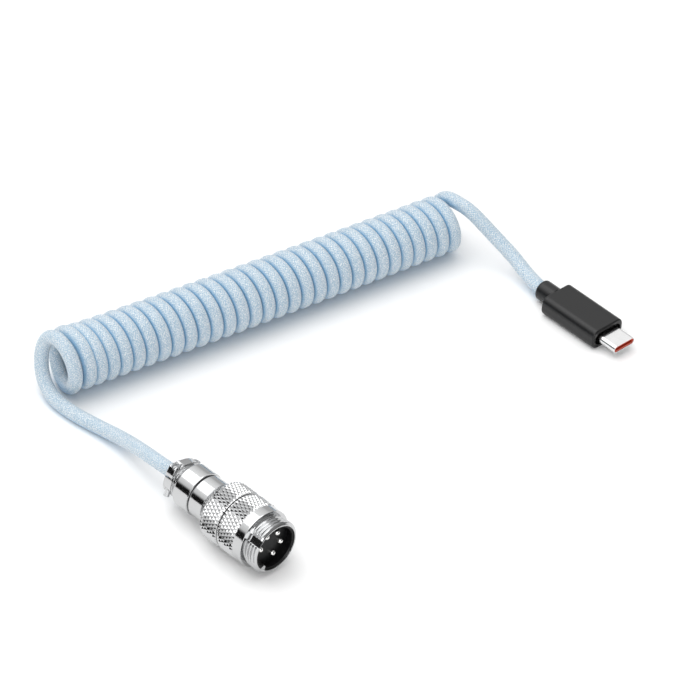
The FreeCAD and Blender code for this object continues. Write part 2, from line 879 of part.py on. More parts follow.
def build():
    node(front_shell(), "front_shell", AVIATOR)
    node(pin_insulator(), "pin_insulator", AVIATOR)
    for number, turn in enumerate(pin_turns(), 1):
        node(contact_pin(number, turn), "contact_pin_%d" % number, AVIATOR)
        node(aviator_wire(number, turn), "aviator_wire_%d" % number, AVIATOR)
    node(solder_sleeves(), "solder_sleeves", AVIATOR)
    node(insert_screw(), "insert_screw")
    seam_start, seam_end = "front_knurl_end", "front_knurl_end + seam"
    washer = ring("ShellWasher", "seam_ring_radius", "rear_thread_bore", seam_start, seam_end)
    node(washer, "shell_washer", AVIATOR)
    node(rear_shell(), "rear_shell", AVIATOR)
    washer = ring("NeckWasher", "neck_ring_radius", "neck_bore", "neck_end", "neck_end + seam")
    node(washer, "neck_washer", AVIATOR)
    node(clamp_body(), "clamp_body", CLAMP)
    node(clamp_saddle(), "clamp_saddle", CLAMP)
    node(clamp_screws(), "clamp_screws", CLAMP)
    start, end = "grommet_start", "clamp_end + grommet_stand"
    node(ring("Grommet", "grommet_radius", "grommet_bore", start, end), "clamp_grommet", AVIATOR)
    length = "clamp_end - jacket_inset - jacket_start"
    jacket = cylinder("AviatorJacket", "cord_diameter / 2", "jacket_start", length)
    node(group("AviatorJacketEnd", [jacket]), "aviator_jacket", AVIATOR)
    start, end = "jacket_start", "jacket_start + ferrule_length"
    ferrule = ring("AviatorFerrule", "ferrule_radius", "grommet_bore", start, end)
    node(ferrule, "aviator_ferrule", AVIATOR)

    node(plug_housing(), "plug_housing", PLUG)
    node(plug_collar(), "plug_collar", PLUG)
    node(usb_shell(), "usb_shell", PLUG)
    node(mouth_liner(), "mouth_liner", PLUG)
    node(contact_row("UpperContact", True), "upper_contacts", PLUG)
    node(contact_row("LowerContact", False), "lower_contacts", PLUG)
    node(latch_springs(), "latch_springs", PLUG)
    node(shield_can(), "shield_can", PLUG)
    node(group("PaddleBoardEnd", [paddle_board()]), "paddle_board", PLUG)
    node(board_parts(), "board_parts", PLUG)
    node(plug_wires(), "plug_wires", PLUG)
    collar_end = "shell_out + housing_length + collar_ring_length"
    length = collar_end + " - jacket_inset - plug_jacket_start"
    jacket = cylinder("PlugJacket", "cord_diameter / 2", "plug_jacket_start", length)
    node(group("PlugJacketEnd", [jacket]), "plug_jacket", PLUG)
    start, end = "plug_jacket_start", "plug_jacket_start + plug_ferrule_length"
    ferrule = ring("PlugFerrule", "plug_ferrule_radius", "cord_diameter / 2", start, end)
    node(ferrule, "plug_ferrule", PLUG)

    node(coil_tube("CoilTube", "-coil_before", "coil_length"), "cord_coil")
    last_turn = ("coil_length + coil_gap", "coil_length + coil_gap + cord_diameter")
    node(coil_tube("CoilEndTube", *last_turn), "cord_coil_end")
    radius = size("cord_diameter") / 2
    node(tube("AviatorTail", AVIATOR_ROUTE, radius, report=True), "cord_tail_aviator")
    node(tube("PlugTail", PLUG_ROUTE, radius, report=True), "cord_tail_usb")


def check_and_write():
    doc.recompute()
    for item in doc.Objects:
        if "Invalid" in item.State or "Error" in item.State:
            raise RuntimeError("%s failed: %s" % (item.Name, item.State))
    os.makedirs(OUT, exist_ok=True)
    for item in nodes:
        shape = item.Shape
        if shape.isNull() or not shape.isValid() or not shape.Solids:
            raise RuntimeError(item.Label + " has no valid solid")
        shape.exportStep(os.path.join(OUT, item.Label + ".step"))
        box = shape.BoundBox
        print(
            "%-20s solids %2d volume %9.2f  x %7.2f..%7.2f y %7.2f..%7.2f z %6.2f..%6.2f"
            % (
                item.Label,
                len(shape.Solids),
                shape.Volume,
                box.XMin,
                box.XMax,
                box.YMin,
                box.YMax,
                box.ZMin,
                box.ZMax,
            )
        )
    print(len(nodes), "nodes")


build()
check_and_write()
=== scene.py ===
import json
import math

import bmesh
import bpy
import numpy as np
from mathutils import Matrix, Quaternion, Vector


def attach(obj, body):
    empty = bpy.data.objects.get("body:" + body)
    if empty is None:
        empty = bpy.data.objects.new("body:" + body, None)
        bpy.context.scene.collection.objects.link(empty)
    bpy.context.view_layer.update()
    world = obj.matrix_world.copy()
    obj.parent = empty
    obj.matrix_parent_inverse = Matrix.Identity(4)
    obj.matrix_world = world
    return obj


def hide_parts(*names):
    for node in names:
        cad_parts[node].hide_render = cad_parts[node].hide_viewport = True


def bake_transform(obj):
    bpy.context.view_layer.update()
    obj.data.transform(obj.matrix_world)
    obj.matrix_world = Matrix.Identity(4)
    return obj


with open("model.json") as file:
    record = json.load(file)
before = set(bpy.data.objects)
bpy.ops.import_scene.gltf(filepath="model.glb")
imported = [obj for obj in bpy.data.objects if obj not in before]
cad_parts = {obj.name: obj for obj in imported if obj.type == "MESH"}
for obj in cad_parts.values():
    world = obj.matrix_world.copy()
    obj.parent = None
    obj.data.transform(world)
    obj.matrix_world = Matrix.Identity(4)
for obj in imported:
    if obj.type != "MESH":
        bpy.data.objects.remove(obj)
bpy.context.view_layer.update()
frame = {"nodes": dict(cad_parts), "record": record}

MM = 0.001

# Camera.

CAMERA_PLACE = (-0.94637, -0.88905, 1.06549)
CAMERA_HEADING = math.radians(44)
CAMERA_DIP = math.radians(38.62)
CAMERA_TILT = math.radians(4.3)
FOCAL_LENGTH = 308.8


def make_camera():
    """A long lens, looking along the heading and down by the dip."""
    forward = Vector((
        math.cos(CAMERA_DIP) * math.cos(CAMERA_HEADING),
        math.cos(CAMERA_DIP) * math.sin(CAMERA_HEADING),
        -math.sin(CAMERA_DIP),
    ))
    level = forward.to_track_quat("-Z", "Y")
    lens = bpy.data.cameras.new("Camera")
    lens.lens = FOCAL_LENGTH
    lens.clip_start = 0.1
    lens.clip_end = 20
    camera = bpy.data.objects.new("Camera", lens)
    camera.location = CAMERA_PLACE
    camera.rotation_mode = "QUATERNION"
    camera.rotation_quaternion = level @ Quaternion((0, 0, 1), CAMERA_TILT)
    bpy.context.scene.collection.objects.link(camera)
    bpy.context.scene.camera = camera


# Node materials.


class Nodes:
    """A new material's node tree, with short calls for the nodes used here."""

    def __init__(self, name):
        self.material = bpy.data.materials.new(name)
        self.material.use_nodes = True
        self.tree = self.material.node_tree
        self.shader = self.tree.nodes["Principled BSDF"]

    def add(self, kind, **settings):
        made = self.tree.nodes.new("ShaderNode" + kind)
        for name, value in settings.items():
            setattr(made, name, value)
        return made

    def feed(self, socket, value):
        """Link an output socket, or set a number or colour on the socket itself."""
        if isinstance(value, bpy.types.NodeSocket):
            self.tree.links.new(value, socket)
        else:
            socket.default_value = value

    def maths(self, operation, *values):
        made = self.add("Math", operation=operation)
        for socket, value in zip(made.inputs, values):
            self.feed(socket, value)
        return made.outputs[0]

    def mix(self, factor, first, second):
        made = self.add("Mix", data_type="RGBA")
        self.feed(made.inputs["Factor"], factor)
        self.feed(made.inputs["A"], first)
        self.feed(made.inputs["B"], second)
        return made.outputs["Result"]

    def spread(self, value, low, high, to_low, to_high):
        """A value carried from one range to another."""
        made = self.add("MapRange")
        for socket, number in zip(made.inputs, (value, low, high, to_low, to_high)):
            self.feed(socket, number)
        return made.outputs[0]

    def place(self):
        return self.add("TexCoord").outputs["Object"]

    def noise(self, size, detail=2):
        """Noise whose grains are about that many metres across."""
        made = self.add("TexNoise")
        self.feed(made.inputs["Vector"], self.place())
        made.inputs["Scale"].default_value = 1 / size
        made.inputs["Detail"].default_value = detail
        return made.outputs["Fac"]

    def bump(self, height, depth):
        """Relief that many metres deep."""
        made = self.add("Bump")
        made.inputs["Strength"].default_value = 1
        made.inputs["Distance"].default_value = depth
        self.feed(made.inputs["Height"], height)
        self.feed(self.shader.inputs["Normal"], made.outputs[0])

    def set(self, **sockets):
        for name, value in sockets.items():
            self.feed(self.shader.inputs[name.replace("_", " ")], value)


# Depths of relief and sizes of pattern, in metres.
METAL_RELIEF = 0.0000004
PLASTIC_RELIEF = 0.000006
BRAID_RELIEF = 0.00009
PAD_RELIEF = 0.00003
PAD_PITCH = 0.0008
# Reach of the ambient occlusion that paints shade into the braid's crevices.
CREVICE_SHADE_REACH = 0.004
BRAID_BLUE = (0.32, 0.475, 0.60, 1)
BRAID_PALE_BLUE = (0.37, 0.51, 0.63, 1)
BRAID_WHITE = (0.82, 0.83, 0.83, 1)
# Deeper blue painted as shade in the grooves between strands.
BRAID_GROOVE_SHADE = (0.26, 0.47, 0.65, 1)
# Near-white painted as a highlight on the strand crowns.
BRAID_CROWN_HIGHLIGHT = (0.92, 0.93, 0.94, 1)
# Deeper blue painted as shade in the crevices between turns and against other parts.
BRAID_CREVICE_SHADE = (0.18, 0.43, 0.66, 1)


def braid_material():
    """Two families of diagonal strands over and under each other, pale blue with white flecks,
    with painted shade in the grooves and crevices and a painted highlight on the strand crowns.
    """
    made = Nodes("braid")
    coordinates = made.add("SeparateXYZ")
    made.feed(coordinates.inputs[0], made.add("UVMap", uv_map="braid").outputs[0])
    around, along = coordinates.outputs[0], coordinates.outputs[1]
    rise = made.maths("ADD", along, around)
    fall = made.maths("SUBTRACT", along, around)
    heights = []
    for family in (rise, fall):
        wave = made.maths("SINE", made.maths("MULTIPLY", family, math.pi))
        heights.append(made.maths("ABSOLUTE", wave))
    cells = made.maths("ADD", made.maths("FLOOR", rise), made.maths("FLOOR", fall))
    over = made.maths("PINGPONG", cells, 1)
    rise_part = made.maths("MULTIPLY", heights[0], over)
    fall_part = made.maths("MULTIPLY", heights[1], made.maths("SUBTRACT", 1, over))
    height = made.maths("ADD", rise_part, fall_part)
    fibres = made.noise(0.00022, detail=3)
    mottle = made.spread(made.noise(0.0003, detail=3), 0.4, 0.66, 0, 1)
    blue = made.mix(made.noise(0.004), BRAID_BLUE, BRAID_PALE_BLUE)
    flecked = made.mix(mottle, blue, BRAID_WHITE)
    # Painted shade: where the strands' relief is low, in the grooves between them, the colour
    # turns a deeper blue.
    strands = made.mix(made.spread(height, 0, 0.5, 0, 1), BRAID_GROOVE_SHADE, flecked)
    # White flecks on the strand crowns, lightened further towards white: partly the white fibres'
    # own colour, partly a painted highlight.
    white = made.maths("MULTIPLY", mottle, made.maths("POWER", height, 2))
    crown_highlighted = made.mix(made.maths("MULTIPLY", white, 0.4), strands, BRAID_CROWN_HIGHLIGHT)
    # Painted shade: where ambient occlusion finds other surfaces close by, the braid is mixed
    # towards a deeper blue.
    crevice_shade = made.add("AmbientOcclusion", samples=8)
    crevice_shade.inputs["Distance"].default_value = CREVICE_SHADE_REACH
    unshaded = made.spread(crevice_shade.outputs["AO"], 0.3, 0.8, 0, 1)
    colour = made.mix(unshaded, BRAID_CREVICE_SHADE, crown_highlighted)
    made.set(Base_Color=colour, Roughness=made.spread(white, 0, 1, 0.65, 0.45))
    made.set(Sheen_Weight=0.5, Sheen_Roughness=0.5, Specular_IOR_Level=0.5)
    relief = made.maths("ADD", height, made.maths("MULTIPLY", fibres, 0.5))
    made.bump(relief, BRAID_RELIEF)
    return made.material


def metal(name, colour, roughness, grain=0.0012):
    """Plated or bare metal, with faint clouding and handling marks."""
    made = Nodes(name)
    cloud = made.noise(grain * 4, detail=3)
    dull = tuple(0.93 * part for part in colour)
    made.set(Base_Color=made.mix(cloud, (*dull, 1), (*colour, 1)), Metallic=1)
    marks = made.noise(grain, detail=4)
    made.set(Roughness=made.spread(marks, 0.3, 0.7, roughness * 0.75, roughness * 1.25))
    made.bump(marks, METAL_RELIEF)
    return made.material


def plastic(name, colour, roughness, grain=0.0004, gloss=0.5):
    """Moulded or drawn plastic or rubber with a fine grain."""
    made = Nodes(name)
    cloud = made.noise(0.003, detail=2)
    dull = tuple(0.85 * part for part in colour)
    made.set(Base_Color=made.mix(cloud, (*dull, 1), (*colour, 1)), Specular_IOR_Level=gloss)
    texture = made.noise(grain, detail=3)
    made.set(Roughness=made.spread(texture, 0.3, 0.7, roughness * 0.85, roughness * 1.15))
    made.bump(texture, PLASTIC_RELIEF)
    return made.material


def board_material():
    """Green solder mask with tinned pads in a row."""
    made = Nodes("board_green")
    split = made.add("SeparateXYZ")
    made.feed(split.inputs[0], made.place())
    across = made.maths("MULTIPLY", split.outputs[0], 2 * math.pi / PAD_PITCH)
    strips = made.maths("SINE", across)
    pads = made.spread(strips, 0.3, 0.4, 0, 1)
    mask = made.mix(made.noise(0.002), (0.012, 0.12, 0.05, 1), (0.02, 0.17, 0.07, 1))
    made.set(Base_Color=made.mix(pads, mask, (0.6, 0.58, 0.5, 1)), Metallic=pads, Roughness=0.35)
    made.bump(pads, PAD_RELIEF)
    return made.material


def make_materials():
    """One material for each slot of the record."""
    return {
        "chrome": metal("chrome", (0.57, 0.575, 0.58), 0.11),
        "screw_steel": metal("screw_steel", (0.62, 0.63, 0.64), 0.2, 0.0005),
        "seam_ring": plastic("seam_ring", (0.012, 0.012, 0.013), 0.6),
        "insert_black": plastic("insert_black", (0.005, 0.005, 0.0055), 0.35, gloss=0.2),
        "pin_silver": metal("pin_silver", (0.86, 0.855, 0.84), 0.2, 0.0005),
        "heat_shrink": plastic("heat_shrink", (0.02, 0.02, 0.021), 0.55),
        "grommet_rubber": plastic("grommet_rubber", (0.02, 0.02, 0.02), 0.75),
        "ferrule_steel": metal("ferrule_steel", (0.6, 0.6, 0.61), 0.3, 0.0005),
        "braid": braid_material(),
        "plug_black": plastic("plug_black", (0.006, 0.006, 0.0065), 0.34, 0.0003, gloss=0.4),
        "bright_steel": metal("bright_steel", (0.82, 0.82, 0.82), 0.16, 0.0005),
        "liner_orange": plastic("liner_orange", (0.55, 0.055, 0.02), 0.4),
        "contact_gold": metal("contact_gold", (0.83, 0.62, 0.25), 0.25, 0.0004),
        "can_steel": metal("can_steel", (0.62, 0.63, 0.64), 0.3),
        "board_green": board_material(),
        "component_ceramic": plastic("component_ceramic", (0.25, 0.17, 0.1), 0.5),
        "wire_red": plastic("wire_red", (0.5, 0.02, 0.02), 0.4),
        "wire_black": plastic("wire_black", (0.02, 0.02, 0.02), 0.4),
        "wire_white": plastic("wire_white", (0.75, 0.75, 0.72), 0.4),
        "wire_green": plastic("wire_green", (0.03, 0.28, 0.08), 0.4),
        "wire_drain": metal("wire_drain", (0.75, 0.45, 0.3), 0.35, 0.0004),
    }


# Meshes.


def mesh_piece(name, corners, faces, slot, crease=30):
    """A new piece with outward normals, sharp where its faces turn by more than the crease."""
    mesh = bpy.data.meshes.new(name)
    mesh.from_pydata([tuple(c) for c in corners], [], faces)
    work = bmesh.new()
    work.from_mesh(mesh)
    bmesh.ops.recalc_face_normals(work, faces=work.faces)
    work.to_mesh(mesh)
    work.free()
    mesh.shade_smooth()
    mesh.set_sharp_from_angle(angle=math.radians(crease))
    mesh.materials.append(materials[slot])
    piece = bpy.data.objects.new(name, mesh)
    bpy.context.scene.collection.objects.link(piece)
    return piece


def modify(piece, kind, **settings):
    """Apply one modifier to the piece's mesh."""
    modifier = piece.modifiers.new(kind, kind)
    for name, value in settings.items():
        setattr(modifier, name, value)
    graph = bpy.context.evaluated_depsgraph_get()
    mesh = bpy.data.meshes.new_from_object(piece.evaluated_get(graph))
    piece.modifiers.clear()
    piece.data = mesh


# Aviator connector: turned pieces, in millimetres from its axis and back from its front.

AVIATOR = np.array([-69.5, -20.15, 9])
COLUMNS = 192
KEYWAY_TURN = math.radians(-54)
KEYWAY_FLOOR = 7.1
KEYWAY_COLUMNS = 4
KEYWAY_EDGE = math.radians(8.6)
KEYWAY_WALL = math.radians(0.3)
TURNS = KEYWAY_TURN + np.arange(COLUMNS) * 2 * math.pi / COLUMNS
THREAD_RADIUS = 8
THREAD_DEPTH = 0.7
THREAD_PITCH = 1
THREAD_STEP = 0.1
# Parts of half a pitch taken by half the crest and by one flank.
THREAD_CREST = 0.12
THREAD_FLANK = 0.75
THREAD_END = 4.3
THREAD_RUN_OUT = 0.3
COLLAR_START = 4.9
COLLAR_END = 8
COLLAR_RADIUS = 8.83
KNURL_RADIUS = 9
KNURL_DEPTH = 0.36
KNURL_STEP = 0.53
KNURL_COLUMNS = 4
BORE_RADIUS = 6.92
BORE_END = 9
SLEEVE_RADIUS = 6.9
SLEEVE_BORE = 5.9
SLEEVE_END = 19.5
FRONT_BAND_END = 14.5
RIB_START = 0.55
RIB_END = 4
RIB_TURN = math.radians(-144)
RIB_RADIUS = 0.75
RIB_PLACE = 6.5
SET_SCREW_TURN = math.radians(41)
SET_SCREW_BACK = 9.7
SET_SCREW_HOLE = 0.95
SET_SCREW_PAD = 1.35
SET_SCREW_SUNK = 0.12


def on_aviator(radius, turn, back):
    """World points; turns run from the top towards +X."""
    radius, turn, back = np.broadcast_arrays(radius, turn, back)
    points = np.stack([radius * np.sin(turn), back, radius * np.cos(turn)], axis=-1)
    return (points + AVIATOR) * MM


def turned(rows, knurled=()):
    """A closed turned shape.  A row is its radii, its distance back and its turns."""
    corners = np.concatenate([on_aviator(radii, turns, back) for radii, back, turns in rows])
    faces = []
    for row in range(len(rows)):
        band = [row - first for first, last in knurled if first <= row < last]
        for column in range(COLUMNS):
            beside = (column + 1) % COLUMNS
            ahead = (row + 1) % len(rows)
            a, b = row * COLUMNS + column, row * COLUMNS + beside
            c, d = ahead * COLUMNS + beside, ahead * COLUMNS + column
            if band and (column + band[0] + 1) % KNURL_COLUMNS == 0:
                faces += [(a, b, d), (b, c, d)]
            elif band and (column - band[0]) % KNURL_COLUMNS == 0:
                faces += [(a, b, c), (a, c, d)]
            else:
                faces.append((a, b, c, d))
    return corners, faces


def knurl_rows(path):
    """Rows of crossed grooves along a path of radii and distances back."""
    columns = np.arange(COLUMNS)
    rows = []
    for step, (radius, back) in enumerate(path):
        ramps = [(columns + lead) / KNURL_COLUMNS % 1 for lead in (step, -step)]
        height = np.minimum(*[1 - 2 * np.abs(ramp - 0.5) for ramp in ramps])
        if step in (0, len(path) - 1):
            height = np.zeros(COLUMNS)
        rows.append((radius - KNURL_DEPTH * (1 - height), back, TURNS))
    return rows


def keyed(rows):
    """The rows with the keyway cut into them."""
    from_middle = (np.arange(COLUMNS) + COLUMNS // 2) % COLUMNS - COLUMNS // 2
    inside = np.abs(from_middle) <= KEYWAY_COLUMNS
    turns = TURNS.copy()
    turns[KEYWAY_COLUMNS] = KEYWAY_TURN + KEYWAY_EDGE - KEYWAY_WALL
    turns[KEYWAY_COLUMNS + 1] = KEYWAY_TURN + KEYWAY_EDGE
    turns[-KEYWAY_COLUMNS] = KEYWAY_TURN - KEYWAY_EDGE + KEYWAY_WALL
    turns[-KEYWAY_COLUMNS - 1] = KEYWAY_TURN - KEYWAY_EDGE
    floor = KEYWAY_FLOOR / np.cos(turns - KEYWAY_TURN)
    return [
        (np.where(inside, np.minimum(radii, floor), radii), back, turns) for radii, back in rows
    ]


def thread_rows():
    """Rows of a helical thread, chamfered at the front and run out at the back."""
    root = THREAD_RADIUS - THREAD_DEPTH
    rows = []
    for back in np.arange(THREAD_STEP, THREAD_END, THREAD_STEP):
        phase = (back / THREAD_PITCH - TURNS / (2 * math.pi)) % 1
        from_crest = np.abs(phase - 0.5) * 2
        depth = THREAD_DEPTH * np.clip((from_crest - THREAD_CREST) / THREAD_FLANK, 0, 1)
        chamfer = root + back
        run_out = THREAD_RADIUS + (THREAD_END - THREAD_RUN_OUT - back) * 2
        highest = min(chamfer, max(run_out, root + 0.1))
        rows.append((np.clip(THREAD_RADIUS - depth, root, highest), back))
    return rows


def ribbed_bore():
    """Radii of the bore with the key rib standing into it."""
    off = TURNS - RIB_TURN
    inside = RIB_RADIUS**2 - (RIB_PLACE * np.sin(off)) ** 2
    near = RIB_PLACE * np.cos(off) - np.sqrt(np.maximum(inside, 0))
    return np.where((inside > 0) & (np.cos(off) > 0), np.minimum(near, BORE_RADIUS), BORE_RADIUS)


def plain(*rows):
    """Round rows, from their radii and distances back."""
    return [(radius, back, TURNS) for radius, back in rows]


def make_front_shell():
    root = THREAD_RADIUS - THREAD_DEPTH
    front = keyed([(BORE_RADIUS + 0.03, 0.06), (BORE_RADIUS + 0.1, 0), (root - 0.04, 0)])
    thread = keyed(thread_rows() + [(root, THREAD_END), (root, COLLAR_START - 0.12)])
    collar = plain(
        (root + 0.1, COLLAR_START),
        (COLLAR_RADIUS - 0.21, COLLAR_START),
        (COLLAR_RADIUS - 0.05, COLLAR_START + 0.1),
        (COLLAR_RADIUS, COLLAR_START + 0.26),
        (COLLAR_RADIUS, COLLAR_START + 0.35),
        (COLLAR_RADIUS, COLLAR_END - 0.2),
        (COLLAR_RADIUS, COLLAR_END - 0.1),
        (COLLAR_RADIUS - 0.13, COLLAR_END),
    )
    places = np.linspace(COLLAR_END + 0.05, FRONT_BAND_END - 0.1, 13)
    band = knurl_rows([(KNURL_RADIUS, back) for back in places])
    rear = plain(
        (KNURL_RADIUS - 0.45, FRONT_BAND_END),
        (SLEEVE_RADIUS, FRONT_BAND_END),
        (SLEEVE_RADIUS, SLEEVE_END),
        (SLEEVE_BORE, SLEEVE_END),
        (SLEEVE_BORE, BORE_END),
        (BORE_RADIUS, BORE_END),
        (BORE_RADIUS, RIB_END + 0.03),
    )
    ribbed = ribbed_bore()
    ribs = [(ribbed, RIB_END, TURNS), (ribbed, RIB_START, TURNS)]
    ribs += plain((BORE_RADIUS, RIB_START - 0.03))
    rows = front + thread + collar
    first = len(rows)
    last = first + len(band) - 1
    band = [(around_set_screw(radii, back), back, turns) for radii, back, turns in band]
    shape = turned(rows + band + rear + ribs, [(first, last)])
    shell = mesh_piece("front_shell_turned", *shape, "chrome")
    outward = np.array([math.sin(SET_SCREW_TURN), 0, math.cos(SET_SCREW_TURN)])
    middle = AVIATOR + np.array([0, SET_SCREW_BACK, 0])
    foot = middle + (BORE_RADIUS - 1.5) * outward
    head = middle + (KNURL_RADIUS + 1) * outward
    bore(shell, foot, head, SET_SCREW_HOLE)
    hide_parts("front_shell")
    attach(shell, "aviator_end")


def around_set_screw(radii, back):
    """A plain pad in the knurl round the set screw's hole."""
    across = KNURL_RADIUS * ((TURNS - SET_SCREW_TURN + math.pi) % (2 * math.pi) - math.pi)
    away = np.hypot(across, back - SET_SCREW_BACK)
    return np.where(away < SET_SCREW_PAD, KNURL_RADIUS - SET_SCREW_SUNK, radii)


def rod(foot, head, radius):
    """A round bar between two points in millimetres."""
    sides = 40
    ahead = Vector(head - foot).normalized()
    side = ahead.orthogonal().normalized()
    corners = []
    for end in (foot, head):
        for index in range(sides):
            spoke = Quaternion(ahead, 2 * math.pi * index / sides) @ side
            corners.append((end + radius * np.array(spoke)) * MM)
    return np.array(corners), bar_faces(sides)


def bar_faces(count):
    """Two end faces of that many corners, and the faces between them."""
    faces = [tuple(range(count)), tuple(range(count, 2 * count))]
    for index in range(count):
        beside = (index + 1) % count
        faces.append((index, beside, beside + count, index + count))
    return faces


def bore(piece, foot, head, radius):
    """Cut a round hole in the piece between two points in millimetres."""
    drill = mesh_piece("drill", *rod(foot, head, radius), "chrome")
    modify(piece, "BOOLEAN", object=drill, operation="DIFFERENCE", solver="EXACT")
    bpy.data.objects.remove(drill)


REAR_BAND_START = 14.8
SHOULDER = 20.8
SHOULDER_FILLET = 1.6
SLOPE_END = 23.6
SLOPE_END_RADIUS = 6.45
NECK_RADIUS = 6.35
NECK_END = 28.6
NECK_BORE = 5.3
SOCKET_RADIUS = 7
SOCKET_END = 19.8


def shoulder_path():
    """Radii and distances back along the rear shell's band, its rounded shoulder and slope."""
    slope = math.atan2(KNURL_RADIUS - SLOPE_END_RADIUS, SLOPE_END - SHOULDER)
    round_start = SHOULDER - SHOULDER_FILLET * math.tan(slope / 2)
    points = [(KNURL_RADIUS, REAR_BAND_START + 0.06)]
    for angle in np.linspace(0, slope, 12):
        points.append((
            KNURL_RADIUS - SHOULDER_FILLET * (1 - math.cos(angle)),
            round_start + SHOULDER_FILLET * math.sin(angle),
        ))
    points.append((SLOPE_END_RADIUS, SLOPE_END))
    radii, backs = np.transpose(points)
    distance = np.concatenate([[0], np.cumsum(np.hypot(np.diff(radii), np.diff(backs)))])
    places = np.linspace(0, distance[-1], round(distance[-1] / KNURL_STEP) + 1)
    return list(zip(np.interp(places, distance, radii), np.interp(places, distance, backs)))


def make_rear_shell():
    front = plain(
        (SOCKET_RADIUS, REAR_BAND_START + 0.02),
        (KNURL_RADIUS - 0.45, REAR_BAND_START),
    )
    band = knurl_rows(shoulder_path())
    rear = plain(
        (NECK_RADIUS, SLOPE_END + 0.1),
        (NECK_RADIUS, SLOPE_END + 0.2),
        (NECK_RADIUS, NECK_END - 0.35),
        (NECK_RADIUS, NECK_END - 0.25),
        (NECK_RADIUS - 0.07, NECK_END - 0.08),
        (NECK_RADIUS - 0.25, NECK_END),
        (NECK_BORE, NECK_END),
        (NECK_BORE, SOCKET_END),
        (SOCKET_RADIUS, SOCKET_END),
    )
    shape = turned(front + band + rear, [(len(front), len(front) + len(band) - 1)])
    shell = mesh_piece("rear_shell_turned", *shape, "chrome")
    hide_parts("rear_shell")
    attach(shell, "aviator_end")


# Cable clamp, in millimetres across, back and up from the connector's axis.

BARREL_START = 28.9
BARREL_END = 34.6
BARREL_RADIUS = 6.7
PLUG_IN_START = 24.6
PLUG_IN_RADIUS = 5.25
CLAMP_NECK_RADIUS = 5.2
CLAMP_NECK_BORE = 4.4
CLAMP_NECK_PITCH = 0.7
CLAMP_NECK_DEPTH = 0.45
CLAMP_WEB = 33.4
CLAMP_TURN = math.radians(20)
CLAMP_START = 36.8
CLAMP_END = 39.6
CLAMP_MIDDLE = (CLAMP_START + CLAMP_END) / 2
CLAMP_BORE = 2.95
CLAMP_RADIUS = 5.5
CLAMP_SPLIT = 0.8
SADDLE_INSET = 0.1
SADDLE_FOOT = 1.2
SADDLE_BEVEL = 0.22
SADDLE_OUTLINE = (
    (5.7, 1.2), (5.7, 2.4), (4.9, 4.2), (3.5, 5.3), (0.6, 5.6), (-2.3, 5.25), (-4.7, 4.8),
    (-5.3, 4.2), (-5.8, 2.4), (-5.75, 1.2),
)
SCREW_PLACES = (-4, 4)
SCREW_HOLE_RADIUS = 0.9
BODY_HOLE = (-8, 2)
SADDLE_HOLE = (0, 7)
SCREW_SEAT = 3.9
SCREW_SEAT_RADIUS = 1.35
HINGE_PLACE = (-5.3, -1.5)
HINGE_RADIUS = 0.65


def on_clamp(across, back, up):
    """Points in millimetres; the clamp is turned about the connector's axis."""
    x = across * math.cos(CLAMP_TURN) + up * math.sin(CLAMP_TURN)
    z = up * math.cos(CLAMP_TURN) - across * math.sin(CLAMP_TURN)
    return AVIATOR + np.array([x, back, z])


def prism(outline, start, end):
    """A shape of one outline across and up, from one distance back to another."""
    corners = [on_clamp(across, back, up) * MM for back in (start, end) for across, up in outline]
    return np.array(corners), bar_faces(len(outline))


def arc(radius, start, end, count):
    """Points of an arc across and up, between two turns from the top."""
    turns = np.linspace(start, end, count)
    return [(radius * math.sin(turn), radius * math.cos(turn)) for turn in turns]


def joined(*shapes):
    """The corners and faces of several shapes as one."""
    corners, faces, first = [], [], 0
    for shape_corners, shape_faces in shapes:
        corners.append(shape_corners)
        faces += [tuple(first + corner for corner in face) for face in shape_faces]
        first += len(shape_corners)
    return np.concatenate(corners), faces


def barrel_edge(end, inward):
    """Radii and distances back of a rounded edge, from the end inwards."""
    return [
        (BARREL_RADIUS - 0.3, end),
        (BARREL_RADIUS - 0.1, end + 0.08 * inward),
        (BARREL_RADIUS, end + 0.3 * inward),
        (BARREL_RADIUS, end + 0.38 * inward),
    ]


def neck_thread():
    """Rows of the thread between the barrel and the clamp."""
    rows = []
    for back in np.arange(BARREL_END + 0.1, CLAMP_START - 0.1, 0.05):
        phase = (back / CLAMP_NECK_PITCH - TURNS / (2 * math.pi)) % 1
        radii = CLAMP_NECK_RADIUS + CLAMP_NECK_DEPTH * np.abs(2 * phase - 1)
        rows.append((radii, back, TURNS))
    return rows


def make_clamp_body():
    """Barrel, threaded neck, the lower half of the clamp and its hinge pin."""
    barrel = plain(
        (CLAMP_NECK_BORE, PLUG_IN_START),
        (PLUG_IN_RADIUS, PLUG_IN_START),
        (PLUG_IN_RADIUS, BARREL_START),
        *barrel_edge(BARREL_START, 1),
        *reversed(barrel_edge(BARREL_END, -1)),
        (CLAMP_NECK_RADIUS, BARREL_END),
    )
    neck = plain(
        (CLAMP_NECK_RADIUS, CLAMP_START),
        (CLAMP_BORE, CLAMP_START),
        (CLAMP_BORE, CLAMP_WEB),
        (CLAMP_NECK_BORE, CLAMP_WEB),
    )
    edge = math.acos(CLAMP_SPLIT / CLAMP_RADIUS)
    mouth = math.acos(CLAMP_SPLIT / CLAMP_BORE)
    outline = arc(CLAMP_RADIUS, edge, 2 * math.pi - edge, 49)
    outline += arc(CLAMP_BORE, 2 * math.pi - mouth, mouth, 33)
    half = prism(outline, CLAMP_START - 0.1, CLAMP_END)
    across, up = HINGE_PLACE
    pin_start = on_clamp(across, CLAMP_START + 0.1, up)
    pin_end = on_clamp(across, CLAMP_END + 0.9, up)
    pin = rod(pin_start, pin_end, HINGE_RADIUS)
    shape = joined(turned(barrel + neck_thread() + neck), half, pin)
    body = mesh_piece("clamp_body_turned", *shape, "chrome")
    for across in SCREW_PLACES:
        foot, head = [on_clamp(across, CLAMP_MIDDLE, up) for up in BODY_HOLE]
        bore(body, foot, head, SCREW_HOLE_RADIUS)
    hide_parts("clamp_body")
    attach(body, "aviator_end")


